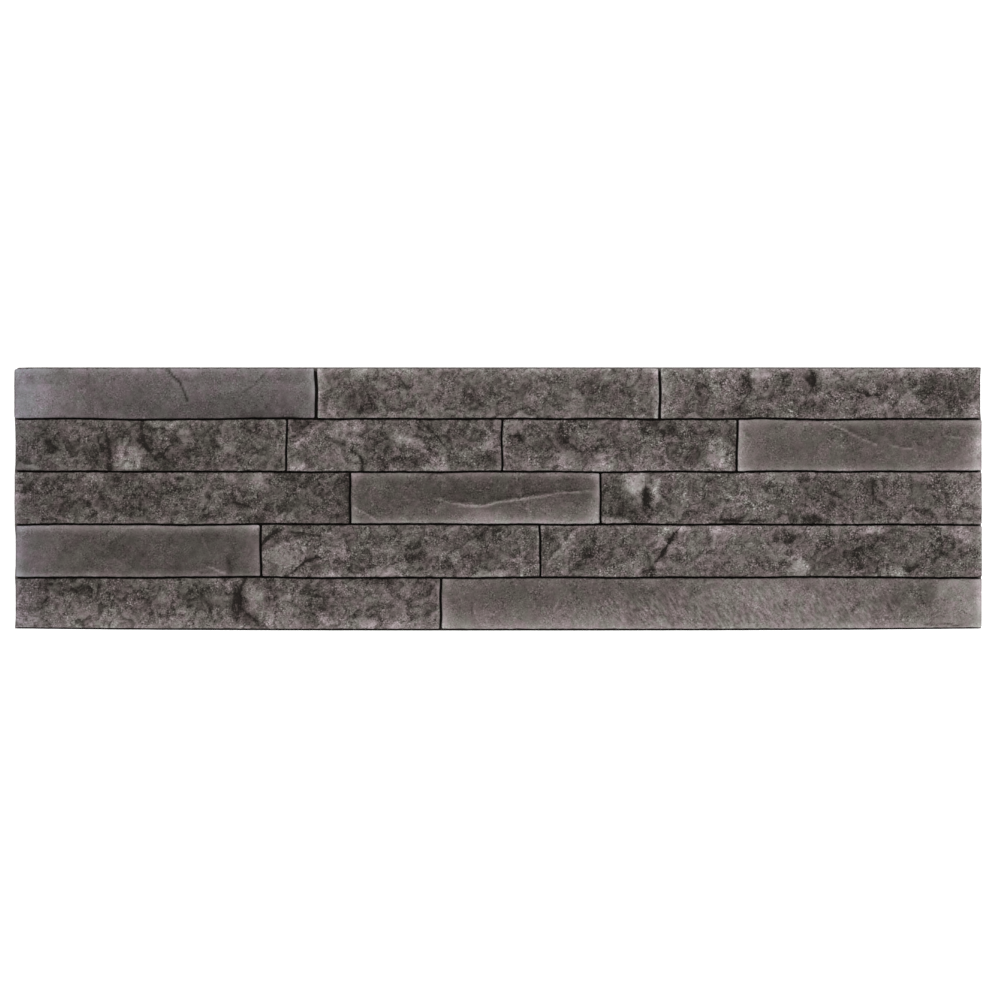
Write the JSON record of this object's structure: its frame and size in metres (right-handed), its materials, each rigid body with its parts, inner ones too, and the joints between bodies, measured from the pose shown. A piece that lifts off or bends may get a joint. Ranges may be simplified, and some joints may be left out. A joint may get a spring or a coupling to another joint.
{
  "type": "concrete cladding tile",
  "caption": "Long rectangular wall cladding tile, cast as one piece, its face moulded as dry-laid courses of split and smooth stone strips with narrow dark joints.",
  "frame": {"origin": "centre of the tile's flat back, which it lies on", "axes": "+X along the courses, towards the face's right-hand end; +Y across the courses, towards the upper edge; +Z out of the back and up through the face"},
  "size_m": [0.55, 0.15, 0.0215],
  "materials": {
    "concrete": "matte"
  },
  "bodies": {
    "root": {"cladding_tile": "concrete"}
  },
  "joints": []
}
